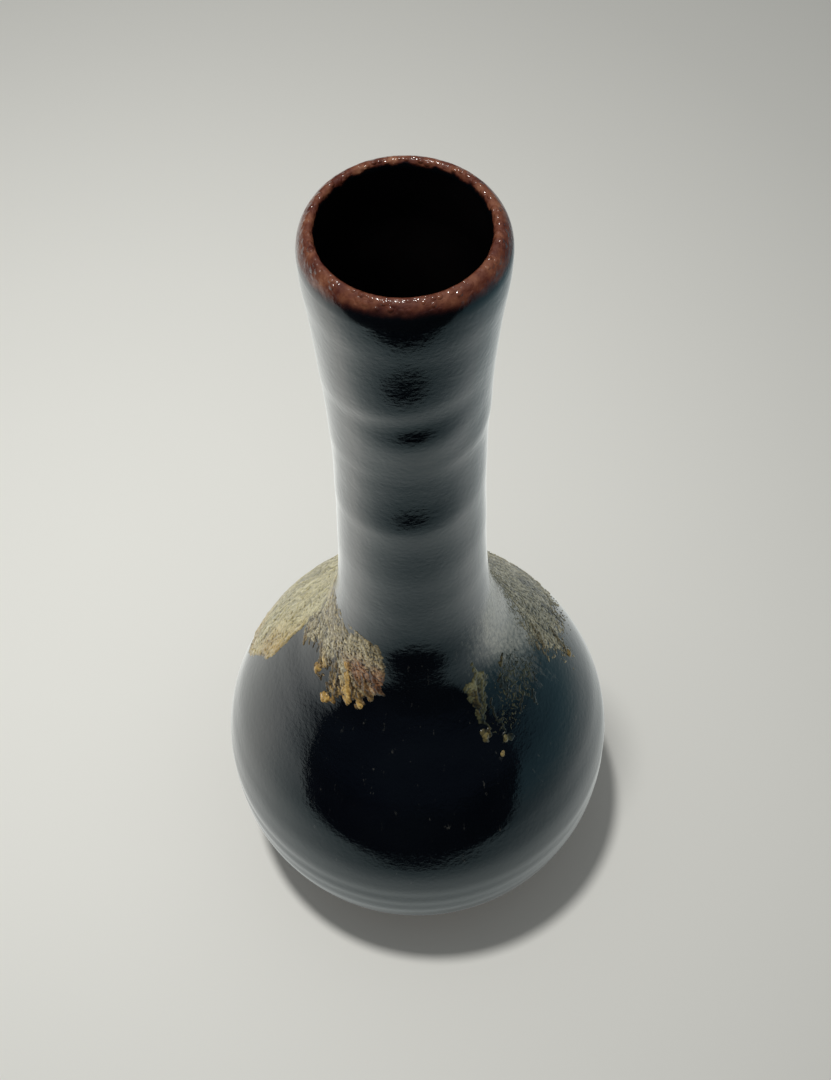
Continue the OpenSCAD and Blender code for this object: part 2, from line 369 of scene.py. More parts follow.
# ------------------------------------------------------------------ materials
class Graph:
    """The node tree of a new material or world, with short calls for the nodes that repeat."""

    def __init__(self, owner):
        owner.use_nodes = True
        self.owner = owner
        self.nodes, self.links = owner.node_tree.nodes, owner.node_tree.links

    def put(self, socket, value):
        """Give a socket a number, a colour or vector, or a link."""
        if isinstance(value, (int, float)):
            socket.default_value = value
        elif isinstance(value, tuple):
            socket.default_value = value if socket.type == "VECTOR" else (*value, 1)
        else:
            self.links.new(value, socket)

    def node(self, kind, *inputs, **settings):
        """A new node with its settings, and with values for its first inputs."""
        node = self.nodes.new("ShaderNode" + kind)
        for key, value in settings.items():
            setattr(node, key, value)
        for socket, value in zip(node.inputs, inputs):
            self.put(socket, value)
        return node

    def fill(self, node, **inputs):
        """Give values to a node's inputs by their names."""
        for key, value in inputs.items():
            self.put(node.inputs[key], value)
        return node

    def at(self):
        return self.node("TexCoord").outputs["Object"]

    def painted(self, name, output="Fac"):
        """What the mesh carries at its vertices under a name."""
        return self.node("Attribute", attribute_name=name).outputs[output]

    def noise(self, at, scale, detail=3.0, roughness=0.5):
        """Noise in features per millimetre."""
        node = self.node("TexNoise")
        self.fill(node, Scale=scale * 1000, Detail=detail, Roughness=roughness, Vector=at)
        return node.outputs["Fac"]

    def streaks(self, scale, detail, roughness):
        """Noise drawn out along the way the glaze or the ash ran."""
        return self.noise(self.painted("flow", "Vector"), scale * MM, detail, roughness)

    def ramp(self, value, stops):
        """Colours by value. A grey is given as one number."""
        node = self.node("ValToRGB", value)
        elements = node.color_ramp.elements
        while len(elements) < len(stops):
            elements.new(0.5)
        for element, (position, colour) in zip(elements, stops):
            element.position = position
            element.color = (*(colour if isinstance(colour, tuple) else (colour,) * 3), 1)
        return node.outputs["Color"]

    def math(self, operation, *inputs):
        return self.node("Math", *inputs, operation=operation).outputs[0]

    def mix(self, fac, a, b, blend="MIX"):
        node = self.node("Mix", data_type="RGBA", blend_type=blend)
        for slot, value in ((0, fac), (6, a), (7, b)):
            self.put(node.inputs[slot], value)
        return node.outputs[2]

    def bump(self, height, strength, distance, under=None):
        """Bump of a distance in millimetres, over another bump if given."""
        node = self.fill(self.node("Bump"), Strength=strength, Distance=distance * MM, Height=height)
        if under is not None:
            self.put(node.inputs["Normal"], under)
        return node.outputs["Normal"]

    def surface(self, colour, roughness, normal, ior=1.5):
        """Connect the shader, and return the material."""
        shader = self.fill(self.nodes["Principled BSDF"], Roughness=roughness, IOR=ior, Normal=normal)
        self.put(shader.inputs["Base Color"], colour)
        return self.owner


def new_material(name):
    return Graph(bpy.data.materials.new(name))


def dark_glaze():
    """Blue-black glaze: mirror-bright, with an orange-peel skin, a cloudy bloom and a mist of fine ash."""
    g = new_material("dark_glaze")
    at = g.at()
    black = g.ramp(g.noise(at, 0.05, 4), [(0.3, (0.0012, 0.0018, 0.0030)), (0.7, (0.0030, 0.0042, 0.0058))])
    fleck = g.noise(at, 1.1, 4, 0.65)
    both = g.math("MULTIPLY_ADD", g.streaks(1.0, 5, 0.65), 0.7, g.math("MULTIPLY", fleck, 0.3))
    level = g.math("MULTIPLY_ADD", g.painted("mist"), 0.62, g.math("MULTIPLY_ADD", both, 0.9, -0.45))
    ash = g.ramp(level, [(0.10, 0), (0.30, 0.25), (0.62, 1)])
    veil = g.ramp(fleck, [(0.35, (0.29, 0.29, 0.26)), (0.65, (0.62, 0.60, 0.52))])
    flat = g.node("VectorMath", at, (1.0, 1.0, 1.8), operation="MULTIPLY").outputs["Vector"]
    swell = g.bump(g.noise(at, 0.22, 2), 0.3, 0.12)
    peel = g.bump(g.noise(at, 1.0, 3, 0.55), 0.6, 0.06, swell)
    ripple = g.bump(g.noise(flat, 0.60, 4, 0.65), 0.6, 0.045, peel)
    return g.surface(g.mix(ash, black, veil), g.math("MULTIPLY_ADD", ash, 0.25, 0.05), ripple, 1.55)


def iron_lip():
    """Rust-brown roll where the glaze ran thin, black below it, with a beaded skin."""
    g = new_material("iron_lip")
    at = g.at()
    rim = g.painted("rim")
    thin = g.math("MULTIPLY_ADD", rim, 0.35, g.math("ADD", g.noise(at, 0.35, 4, 0.6), -0.35))
    rust = g.ramp(thin, [(0.10, (0.040, 0.008, 0.006)), (0.34, (0.080, 0.020, 0.012)),
                         (0.46, (0.125, 0.038, 0.021)), (0.60, (0.19, 0.068, 0.036)),
                         (0.74, (0.32, 0.15, 0.085))])
    # round beads of uneven height that stand on the crest
    cells = g.fill(g.node("TexVoronoi", feature="F1"), Scale=900, Vector=at)
    far = cells.outputs["Distance"]
    dome = g.math("MAXIMUM", g.math("MULTIPLY_ADD", g.math("MULTIPLY", far, far), -3.5, 1.0), 0.0)
    tall = g.node("SeparateXYZ", cells.outputs["Color"]).outputs["X"]
    beads = g.math("MULTIPLY", g.math("MULTIPLY", dome, tall), g.painted("crest"))
    lumps = g.math("MULTIPLY", g.math("SUBTRACT", g.noise(at, 0.8, 3, 0.55), 0.5), rim)
    beaded = g.bump(beads, 1.0, 0.26, g.bump(lumps, 0.8, 0.22))
    peel = g.bump(g.noise(at, 0.9, 2, 0.5), 0.6, 0.035, beaded)
    return g.surface(g.mix(rim, (0.002, 0.003, 0.004), rust), 0.16, peel, 1.55)


def liner_glaze():
    """Dark glaze of the inside."""
    g = new_material("liner_glaze")
    at = g.at()
    colour = g.ramp(g.noise(at, 0.08, 3), [(0.3, (0.002, 0.002, 0.0025)), (0.7, (0.006, 0.005, 0.005))])
    return g.surface(colour, 0.1, g.bump(g.noise(at, 0.4, 2), 0.4, 0.05), 1.52)


def bare_clay():
    """Brown fired clay with dark and pale grit."""
    g = new_material("bare_clay")
    at = g.at()
    base = g.ramp(g.noise(at, 0.12, 5, 0.6), [(0.3, (0.20, 0.115, 0.075)), (0.7, (0.34, 0.22, 0.15))])
    grit = g.noise(at, 1.6, 4, 0.7)
    specks = g.ramp(grit, [(0.30, (0.35, 0.3, 0.27)), (0.40, 1), (0.62, 1), (0.70, (1.5, 1.45, 1.35))])
    return g.surface(g.mix(1.0, base, specks, "MULTIPLY"), 0.85, g.bump(grit, 0.7, 0.12))


GOLD = [(0.0, (0.04, 0.022, 0.006)), (0.25, (0.20, 0.11, 0.025)), (0.5, (0.46, 0.28, 0.075)),
        (0.85, (0.78, 0.58, 0.24))]
ROSE = [(0.0, (0.05, 0.02, 0.01)), (0.25, (0.18, 0.08, 0.035)), (0.5, (0.34, 0.18, 0.09)),
        (0.85, (0.52, 0.33, 0.19))]


def ash_material(name, stops, rough=0.32, pit=0.40):
    """Ash: the colour follows the melt's thickness, with gold where it ran and rust where it stood."""
    g = new_material(name)
    at = g.at()
    grain = g.noise(at, 1.2, 4, 0.6)
    both = g.math("ADD", g.streaks(1.2, 4, 0.6), grain)
    level = g.math("ADD", g.painted("melt"), g.math("MULTIPLY_ADD", both, 0.35, -0.35))
    colour = g.ramp(level, stops)
    for name_there, tint in (("gold", GOLD), ("rose", ROSE)):
        colour = g.mix(g.painted(name_there), colour, g.ramp(level, tint))
    pitted = g.ramp(g.noise(at, 2.0, 3, 0.6), [(pit - 0.1, (0.22, 0.21, 0.20)), (pit, 1),
                                               (0.72, (1.12, 1.1, 1.05))])
    return g.surface(g.mix(1.0, colour, pitted, "MULTIPLY"), rough, g.bump(grain, 0.5, 0.10))


# ------------------------------------------------------------------ pieces: clay and glaze
def glaze_edge(bearing):
    """How far the glaze line stands above its nominal height, in millimetres."""
    return 0.5 + 0.9 * noise3(on_round(bearing, 0, 1.7, 0), 21) + 0.3 * noise3(on_round(bearing, 0, 6, 0), 22)


EDGE_ROLL = 0.9
# Where fine ash lies in the glaze: bearing, height, spread in degrees and in millimetres, strength
MISTS = [
    (350, 101, 28, 8, 1.5), (0, 93, 18, 8, 1.4), (338, 94, 14, 6, 0.36), (325, 87, 12, 6, 0.08),
    (340, 83, 12, 6, 0.16), (15, 88, 22, 9, 1.0), (45, 84, 22, 10, 0.9), (152, 99, 24, 6, 0.8),
    (190, 95, 26, 4, 0.4),
]


def mist_at(bearing, z):
    """How much fine ash lies in the glaze, from 0 to 1."""
    out = np.zeros(np.broadcast(bearing, z).shape)
    for centre, height, wide, tall, strength in MISTS:
        out += strength * np.exp(-(around(bearing, centre) / wide) ** 2 - ((z - height) / tall) ** 2)
    return np.minimum(out, 1.0)


def make_outer_coat(mat):
    """Glaze over the outside, from its rolled lower edge up to the band of the lip, and back inside."""
    rows = []
    edge = glaze_edge(BEARINGS)
    # the rolled lower edge, from the clay round to the outside
    for turn in (0, 30, 60, 90, 120, 150):
        a = math.radians(turn)
        lift = EDGE_ROLL / 2 * (1 - math.sin(a)) if turn < 90 else EDGE_ROLL * (turn - 90) / 90
        rows.append(ring(GLAZE_Z + edge + lift, GLAZE_T * (0.5 + 0.5 * math.cos(a)) - 0.18 * math.sin(a)))
    for z in heights(GLAZE_Z + 1.2, BAND_Z, 1.15):
        fade = 1 - smooth(GLAZE_Z, GLAZE_Z + 7, z)
        rows.append(ring(z + edge * fade, -0.1 * fade ** 3))
    rows += [ring(z, GLAZE_T) for z in heights(BAND_Z, GLAZE_Z + 2, 6.0)]
    rings = np.array(rows)
    coat = lathe("outer_glaze_coat", rings, mat)
    z = rings[..., 2]
    bearing = np.broadcast_to(BEARINGS, z.shape)
    set_attribute(coat, "mist", mist_at(bearing, z).ravel())
    set_attribute(coat, "flow", on_round(bearing, z, 26.0, 0.25).reshape(-1, 3))
    return coat


# Inward lean of the wall where the roll of the lip starts
LIP_LEAN = 3 * ROUND_IN / (LIP_Z - ROUND_Z) + FLARE_LOSS
LIP_STEPS = 41
CLAY_LIP_STEPS = 13
# Length of the roll along its surface, and where along it the rust begins and ends
ROLL_LENGTH = 5.0
RUST_FROM = (-3.6, -1.2)
RUST_TO = (3.8, 4.4)
CREST_FROM = (-0.4, 0.9)
CREST_TO = (3.7, 4.3)


def lip_rings(depth, steps, wobble=0.0):
    """Rings over the roll of the lip, from the outside to the throat."""
    t = np.linspace(0, 1, steps)
    outer, inner = MOUTH_R - turn_in(LIP_Z) - depth, THROAT_R + depth
    first, last = 3 * t * (1 - t) ** 2, 3 * t * t * (1 - t)
    height = first * math.cos(math.atan(LIP_LEAN)) + last
    height *= (LIP_R - depth) / height.max()
    lean = LIP_LEAN * LIP_R * 1.25
    radius = outer * (1 - t) ** 3 + first * (outer - lean) + last * inner + inner * t ** 3
    rows = []
    for share, r, rise_up in zip(t, radius, height):
        lump = wobble * fbm(on_round(BEARINGS, 4 * share, 9.0, 1.0), 31, 2) * math.sin(math.pi * share)
        out = oval(BEARINGS) * (1 - share) + lump * math.cos(math.pi * share)
        rows.append(flat_ring(r + out, LIP_Z + rise_up + lump * math.sin(math.pi * share)))
    return rows


def make_lip_coat(mat):
    """Thin glaze over the lip, with the brown of its rim ragged at both edges."""
    levels = heights(BAND_Z, LIP_Z, 0.25)[:-1]
    rows = [ring(z, 0) for z in levels]
    rows += lip_rings(0, LIP_STEPS, 0.07)
    rows += lip_rings(GLAZE_T, CLAY_LIP_STEPS)[::-1]
    rows += [ring(z, GLAZE_T) for z in heights(LIP_Z, BAND_Z, 0.8)[1:]]
    coat = lathe("iron_lip_coat", np.array(rows), mat)
    # how far along the coat each ring is, from the outside over the crest and in, in millimetres
    hidden = np.full(len(rows) - len(levels) - LIP_STEPS, 9.0)
    along = np.concatenate([levels - LIP_Z, np.linspace(0, ROLL_LENGTH, LIP_STEPS), hidden])
    along = along[:, None] + np.zeros(SEGMENTS)
    ragged = 0.9 * fbm(on_round(BEARINGS[None, :], 0.4 * along, 7.0, 1.0), 33, 3)
    notches = 1.1 * fbm(on_round(BEARINGS[None, :], 0.4 * along, 6.0, 1.0), 35, 3)
    front = np.exp(-(around(BEARINGS, 270) / 60.0) ** 2)[None, :]
    rim = smooth(*RUST_FROM, along + ragged - 2.5 * front) * (1 - smooth(*RUST_TO, along + notches))
    crest = smooth(*CREST_FROM, along) * (1 - smooth(*CREST_TO, along + notches))
    set_attribute(coat, "rim", rim.ravel())
    set_attribute(coat, "crest", crest.ravel())
    return coat


THROAT_Z = LIP_Z - THROAT_LEN
TURN_Z = THROAT_Z - 6


def inner_side(cover):
    """Rings of the inside, from the throat's top down to the edge of the cavity's floor."""
    rows = [flat_ring(THROAT_R + cover, z) for z in heights(LIP_Z, THROAT_Z, 0.8)]
    return rows + [ring(z, wall_at(z) - cover) for z in heights(TURN_Z, CAVITY_Z + 4, 2.2)]


def make_inner_coat(mat):
    """Glaze that lines the throat, the neck and the cavity."""
    air = inner_side(0.0)
    clay = inner_side(GLAZE_T)
    corner = np.linalg.norm(air[-1][0, :2]) - 1
    floor = [flat_ring(corner * s, CAVITY_Z) for s in (1, 0.75, 0.5, 0.25)]
    under = [flat_ring((corner + 0.3) * s, CAVITY_Z - GLAZE_T) for s in (0.25, 0.5, 0.75, 1)]
    rings = np.array((air + floor)[::-1] + clay + under[::-1])
    return lathe("inner_glaze_coat", rings, mat, poles=(CAVITY_Z, CAVITY_Z - GLAZE_T))


def make_clay_neck(mat):
    """Thrown neck, from its joint with the belly up over the lip and down the throat."""
    rows = [ring(z, GLAZE_T) for z in heights(JOINT_Z, LIP_Z, 2.0)[:-1]]
    rows += lip_rings(GLAZE_T, CLAY_LIP_STEPS)
    rows += [flat_ring(THROAT_R + GLAZE_T, z) for z in heights(LIP_Z, THROAT_Z, 2.0)[1:]]
    rows += [ring(z, wall_at(z) - GLAZE_T) for z in heights(TURN_Z, JOINT_Z, 2.0)]
    return lathe("neck_clay", np.array(rows), mat)


def make_clay_belly(mat):
    """Thrown belly, with turning rings and a shallow hollow in its bare underside."""
    inner = [ring(z, wall_at(z) - GLAZE_T) for z in heights(JOINT_Z, CAVITY_Z + 4, 2.0)]
    outer = [ring(z, GLAZE_T) for z in heights(JOINT_Z, FOOT_H, 0.9)]
    corner = np.linalg.norm(inner[-1][0, :2]) - 0.5
    floor = [flat_ring(corner * s, CAVITY_Z - GLAZE_T) for s in (1, 0.6, 0.3)]
    foot_inside = FOOT_R - FOOT_W
    under = []
    for r in heights(FOOT_R - 0.6, 1.0, 0.6):
        dip = 0.12 * math.sin(r * 2 * math.pi / 2.6) + 0.5 * smooth(foot_inside, 4.0, r)
        under.append(flat_ring(r, FOOT_H + (0.0 if r > foot_inside else dip)))
    rings = np.array(floor[::-1] + inner[::-1] + outer + under)
    return lathe("belly_clay", rings, mat, poles=(CAVITY_Z - GLAZE_T, FOOT_H + 0.45))


def make_foot(mat):
    """Turned foot ring with worn edges."""
    ease = 0.8
    step = 0.35
    outline = [(FOOT_R - FOOT_W, FOOT_H), (FOOT_R - FOOT_W, ease), (FOOT_R - FOOT_W + 0.25, 0.25),
               (FOOT_R - FOOT_W + ease, 0.0), (FOOT_R - 2 * ease, 0.0), (FOOT_R - 1.15, 0.25),
               (FOOT_R - ease, ease), (FOOT_R, FOOT_H)]
    rows = []
    for (r0, z0), (r1, z1) in zip(outline[:-1], outline[1:]):
        for t in heights(0, 1, step / max(math.hypot(r1 - r0, z1 - z0), step))[:-1]:
            r, z = r0 + t * (r1 - r0), z0 + t * (z1 - z0)
            wear = 0.06 * fbm(on_round(BEARINGS, z, 5.0, 0.3), 41, 3)
            wear = wear * smooth(0, 0.6, z) * (1 - smooth(FOOT_H - 0.6, FOOT_H, z))
            rows.append(flat_ring(r + wear, z))
    rows.append(flat_ring(FOOT_R, FOOT_H))
    return lathe("turned_foot_ring", np.array(rows), mat)


# ------------------------------------------------------------------ pieces: ash
ASH_TOP_Z = NECK_Z + 2
ASH_LOW_Z = BELLY_Z + 6
RUN_Z = np.linspace(ASH_LOW_Z, ASH_TOP_Z, 600)
RUN_R = radius_at(RUN_Z)
RUN_S = np.concatenate([[0], np.cumsum(np.hypot(np.diff(RUN_Z), np.diff(RUN_R)))])


def s_of_radius(r):
    """Distance up the shoulder's slope, from the lowest ash, of a plan radius."""
    return np.interp(-r, -RUN_R, RUN_S)


def radius_of_s(s):
    """Plan radius of a distance up the shoulder's slope."""
    return np.interp(s, RUN_S, RUN_R)


def smooth_loop(points, parts=6):
    """Closed smooth loop through points."""
    p = np.asarray(points, float)
    p0, p1, p2, p3 = (np.roll(p, k, axis=0) for k in (1, 0, -1, -2))
    out = []
    for t in np.arange(parts) / parts:
        out.append(0.5 * (2 * p1 + (p2 - p0) * t + (2 * p0 - 5 * p1 + 4 * p2 - p3) * t * t
                          + (3 * p1 - p0 - 3 * p2 + p3) * t ** 3))
    return np.stack(out, 1).reshape(-1, 2)


def plan(bearing, r):
    """Points of the plan view."""
    a = np.radians(bearing)
    return np.stack([r * np.cos(a), r * np.sin(a)], -1)


def inside_distance(points, outline):
    """Distance in millimetres to a closed outline, positive inside it."""
    q = points.reshape(-1, 2)
    best = np.full(len(q), 1e9)
    inside = np.zeros(len(q), bool)
    for a, b in zip(outline, np.roll(outline, -1, axis=0)):
        ab = b - a
        t = np.clip(((q - a) @ ab) / max(ab @ ab, 1e-12), 0, 1)
        best = np.minimum(best, np.hypot(*(q - a - t[:, None] * ab).T))
        crosses = (a[1] > q[:, 1]) != (b[1] > q[:, 1])
        x = a[0] + (q[:, 1] - a[1]) / (b[1] - a[1] if b[1] != a[1] else 1e-12) * ab[0]
        inside ^= crosses & (q[:, 0] < x)
    return np.where(inside, best, -best).reshape(points.shape[:-1])


def set_attribute(obj, name, values):
    """A number or a vector for every vertex, for the material to read."""
    kind, field = ("FLOAT", "value") if values.ndim == 1 else ("FLOAT_VECTOR", "vector")
    layer = obj.data.attributes.new(name, kind, "POINT")
    layer.data.foreach_set(field, values.astype(np.float32).ravel())


def kept_cells(top):
    """Cells of the grid that carry crust, with no two meeting only at a corner."""
    near = top > -0.1
    cell = near[:-1, :-1] | near[1:, :-1] | near[:-1, 1:] | near[1:, 1:]
    for _ in range(8):
        a, b, c, d = cell[:-1, :-1], cell[1:, 1:], cell[1:, :-1], cell[:-1, 1:]
        pinched = (a & b & ~c & ~d) | (c & d & ~a & ~b)
        if not pinched.any():
            break
        for part in (a, b, c, d):
            part |= pinched
    return cell


# How deep a crust reaches into the glaze, how far its edges tuck in, and the step that tests its edge
CRUST_FLOOR = 0.3
TUCK = 0.012
EDGE_STEP = 0.8


def slab(name, bearing, z, top, mat, looks):
    """A closed crust between the surface raised by top and the surface sunk by CRUST_FLOOR."""
    rows, cols = top.shape
    cell = kept_cells(top)
    used = np.zeros((rows, cols), bool)
    for di, dj in np.ndindex(2, 2):
        used[di:rows - 1 + di, dj:cols - 1 + dj] |= cell
    index = np.full((rows, cols), -1)
    index[used] = np.arange(used.sum())
    count = used.sum()
    upper = skin(bearing, z, -top)[used]
    lower = skin(bearing, z, CRUST_FLOOR + np.zeros_like(top))[used]
    i, j = np.nonzero(cell)
    quad = np.stack([index[i, j], index[i, j + 1], index[i + 1, j + 1], index[i + 1, j]], -1)
    faces = [quad, quad[:, ::-1] + count]
    padded = np.pad(cell, 1)
    for di, dj, (p, q) in ((-1, 0, ((0, 0), (0, 1))), (1, 0, ((1, 1), (1, 0))), (0, -1, ((1, 0), (0, 0))),
                           (0, 1, ((0, 1), (1, 1)))):
        edge = ~padded[i + 1 + di, j + 1 + dj]
        ei, ej = i[edge], j[edge]
        a = index[ei + p[0], ej + p[1]]
        b = index[ei + q[0], ej + q[1]]
        faces.append(np.stack([b, a, a + count, b + count], -1))
    obj = add_object(name, np.vstack([upper, lower]), np.vstack(faces).tolist(), mat)
    for key, values in looks.items():
        kept = values[used]
        set_attribute(obj, key, np.concatenate([kept, kept]))
    return obj


def ash_grid(outline, margin, step):
    """Bearings, distances up the slope and heights of a grid over an outline's reach."""
    pts = np.asarray(outline, float)
    heading = np.radians(pts[:, 0])
    centre = math.degrees(math.atan2(np.sin(heading).sum(), np.cos(heading).sum()))
    turn = around(pts[:, 0], centre)
    r_high, r_low = pts[:, 1].max() * BELLY_R, pts[:, 1].min() * BELLY_R
    mid = 0.5 * (r_high + r_low)
    extra = math.degrees(margin / mid)
    bearings = centre + np.arange(turn.min() - extra, turn.max() + extra, math.degrees(step / mid))
    s = np.arange(max(s_of_radius(r_high) - margin, 0.0), min(s_of_radius(r_low) + margin, RUN_S[-1]), step)
    b, s = np.meshgrid(bearings, s)
    return b, s, np.interp(s, RUN_S, RUN_Z)


def run_field(b, s, runs, seed):
    """Height, tone and gold of the runs and beads over a grid. A run is its path of (bearing, radius)
    points, its half width at the top and at the bottom, its height, its tone and its gold."""
    r = radius_of_s(s)
    at = np.stack([np.radians(b) * r * 0.8, s * 0.8, 0 * s], -1)
    wobble = 0.35 * noise3(at, seed) + 0.25 * noise3(at * 2.3, seed + 1)
    sway, sway_s = 0.9 * noise3(at * 0.9, seed + 2), 0.7 * noise3(at * 0.9, seed + 3)
    height, tone, gold = np.full(b.shape, -1.0), np.zeros(b.shape), np.zeros(b.shape)
    for path, (w0, w1), tall, shade, golden in runs:
        points = [(bb, float(s_of_radius(rr))) for bb, rr in path]
        count = max(len(points) - 1, 1)
        for k in range(count):
            (b0, s0), (b1, s1) = points[k], points[min(k + 1, len(points) - 1)]
            ux, us = np.radians(around(b, b0)) * r + sway, s - s0 + sway_s
            vx, vs = np.radians(around(b1, b0)) * r, s1 - s0
            t = np.clip((ux * vx + us * vs) / np.maximum(vx * vx + vs * vs, 1e-9), 0, 1)
            width = (w0 + (w1 - w0) * (k + t) / count) * (1 + wobble)
            d = np.hypot(ux - t * vx, us - t * vs) / width
            dome = np.where(d < 1, tall * np.sqrt(np.clip(1 - d * d, 0, 1)), -0.5 * (d - 1))
            tone = np.where(dome > height, shade, tone)
            gold = np.where(dome > height, golden, gold)
            height = np.maximum(height, dome)
    return height, tone, gold


def spread_of(b, s, blobs):
    """Sum of soft blobs over a grid, each a bearing, a radius, two reaches in millimetres and a strength."""
    r = radius_of_s(s)
    out = np.zeros(b.shape)
    for bearing, radius, across, along, strength in blobs:
        far = (np.radians(around(b, bearing)) * r / across) ** 2 + ((s - s_of_radius(radius)) / along) ** 2
        out += strength * np.exp(-far)
    return out


def crust_edge(b, s, here, leaning, loop, seed, teeth, fingers, ragged, shred):
    """Distance inside the crust's ragged outline, and how near its upper edge is, from 0 to 1."""
    # the outline moves up the slope in teeth and in broad fingers, which leaves it ragged
    down = teeth * smooth(0.0, 0.6, noise3(on_round(leaning, s, 34.0, 0.15), seed)) * smooth(
        -0.2, 0.2, noise3(on_round(leaning, s, 12.0, 0.1), seed + 4))
    down = down + fingers * smooth(-0.1, 0.7, noise3(on_round(leaning, 0 * s, 9.0, 0), seed + 1))
    d = inside_distance(plan(b, radius_of_s(np.minimum(s - down, RUN_S[-1]))), loop)
    d = d + ragged * fbm(here * 0.55, seed + 2, 4)
    d = d + shred * fbm(here * 1.5, seed + 17, 3)
    # at the upper edge, a point further down the slope lies deeper inside the outline
    downhill = radius_of_s(np.maximum(s - EDGE_STEP, 0))
    deeper = inside_distance(plan(b, downhill), loop) - inside_distance(plan(b, radius_of_s(s)), loop)
    return d, smooth(-0.1, 0.6, deeper / EDGE_STEP) * (1 - smooth(1.0, 3.5, d))


def add_flecks(h, melt, b, s, here, leaning, flecks, seed):
    """Height and melt with specks of ash, as dense as the blobs in flecks say."""
    speck = fbm(on_round(leaning, s, 80.0, 1.0), seed + 14, 3) * 1.6 + 0.5 * fbm(here * 1.3, seed + 15, 2)
    cover = speck + spread_of(b, s, flecks) - 1.0
    raised = 0.10 * np.sqrt(np.clip(cover, 0, 1))
    fleck_h = np.where(cover > 0, raised, -0.2 * smooth(0, 0.4, -cover)) - TUCK
    melt = np.where(fleck_h > h, np.clip(0.10 + 0.7 * cover, 0, 0.5), melt)
    return np.maximum(h, fleck_h), melt


def add_runs(h, melt, gold, b, s, lumps, runs, seed):
    """Height, melt and gold with runs and beads laid over the crust."""
    tall, shade, golden = run_field(b, s, runs, seed + 12)
    over = smooth(-0.02, 0.08, tall - np.maximum(h, 0) * 0.5)
    melt = melt * (1 - over) + over * np.clip(shade + 0.5 * tall + 0.35 * lumps - 0.25, 0, 1)
    gold = gold * (1 - over) + over * golden
    run_h = np.where(tall > 0, tall * (1 + 0.4 * lumps), np.maximum(tall, -0.2)) - TUCK
    return np.maximum(h, run_h), melt, gold


def make_crust(name, outline, mat, seed, runs=(), thick=0.42, teeth=1.4, fingers=0.8, ragged=0.7, lean=0.4,
               threads=(30.0, 0.2), thready=0.6, contrast=1.0, pits=1.0, step=0.2, flecks=(), golds=(),
               roses=(), edge_gold=0.6, pale=0.5, shred=0.0, rim=0.22, fine=1.4, reach=None):
    """A patch of ash: a crust with a ragged edge inside an outline, runs and beads below it, and flecks.

    teeth, fingers, ragged and shred shape its edge, and rim and edge_gold raise and tint its upper edge.
    lean turns the streaks, and threads, thready and fine set their grain. pale, contrast and pits set how
    the melt's thickness varies."""
    b, s, z = ash_grid(reach or outline, fingers + teeth + 2.0, step)
    pts = np.asarray(outline, float)
    loop = smooth_loop(plan(pts[:, 0], pts[:, 1] * BELLY_R))
    here = skin(b, z, 0.0)
    warp = noise3(here * 0.30, seed + 9) + 0.5 * noise3(here * 0.8, seed + 10)
    leaning = b + lean * (s - s.max()) + 2.5 * warp
    d, upper_edge = crust_edge(b, s, here, leaning, loop, seed, teeth, fingers, ragged, shred)
    thread = fbm(on_round(leaning, s, *threads), seed + 6, 3)
    pebble = fbm(here * fine, seed + 7, 3)
    lumps = 2.0 * (thready * thread + (1 - thready) * pebble)
    hollow = smooth(0.22, 0.42, fbm(here * 1.5, seed + 11, 2)) * pits
    body = smooth(0.0, 0.6, d)
    roll = rim * np.exp(-((d - 0.6) / 0.5) ** 2) * upper_edge
    h = thick * body * np.clip(0.6 + 0.6 * lumps - 0.7 * hollow, 0.06, 2) + roll * body + 0.02 * body
    h = np.where(d > 0, h, -0.14 * smooth(0, 0.8, -d)) - TUCK
    broad = fbm(on_round(leaning, s, 14.0, 0.12), seed + 16, 2)
    melt = pale + contrast * (0.45 * lumps + 0.35 * broad) - 0.4 * hollow + 0.15 * upper_edge
    melt = np.clip(melt, 0.03, 1) * (0.55 + 0.45 * body)
    gold = spread_of(b, s, golds) + edge_gold * upper_edge
    if flecks:
        h, melt = add_flecks(h, melt, b, s, here, leaning, flecks, seed)
    if runs:
        h, melt, gold = add_runs(h, melt, gold, b, s, lumps, runs, seed)
    looks = {"melt": np.clip(melt, 0, 1), "gold": np.clip(gold * (1 + 0.8 * pebble), 0, 1),
             "rose": np.clip(spread_of(b, s, roses) * (1 + 1.2 * warp), 0, 1),
             "flow": on_round(leaning, s, 34.0, 0.3)}
    return slab(name, b, z, h, mat, looks)


LEFT_ASH = [
    (100, .40), (99, .62), (107, .80), (120, .89), (135, .925), (150, .93), (160, .925), (166, .905),
    (172, .82), (177, .74), (176, .67), (174, .60), (172, .54), (173, .48), (175, .42), (172, .385),
    (140, .385), (120, .385)]
FRONT_LEFT_ASH = [
    (163, .39), (164, .47), (168, .53), (173, .545), (179, .545), (185, .515), (191, .48), (198, .485),
    (202, .50), (206, .495), (208, .47), (211, .455), (213, .48), (216, .525), (221, .525), (226, .495),
    (231, .485), (236, .475), (242, .455), (248, .425), (250, .40), (246, .37), (239, .362), (215, .370),
    (200, .37), (185, .37), (172, .38)]
RIGHT_ASH = [
    (64, .47), (63, .68), (56, .80), (44, .86), (32, .85), (22, .80), (14, .77), (9, .75), (5, .765),
    (2, .75), (2, .71), (359, .66), (0, .60), (5, .55), (14, .52), (24, .50), (34, .48), (46, .46)]
FRONT_RIGHT_ASH = [
    (319, .460), (313, .475), (310, .50), (309, .53), (305, .565), (301, .555), (301, .50), (300, .47),
    (299, .435), (305, .445), (309, .41), (313, .43)]
FLECK_REACH = [
    (350, .40), (356, .60), (352, .70), (335, .72), (318, .70), (304, .72), (298, .60), (299, .42),
    (320, .40)]

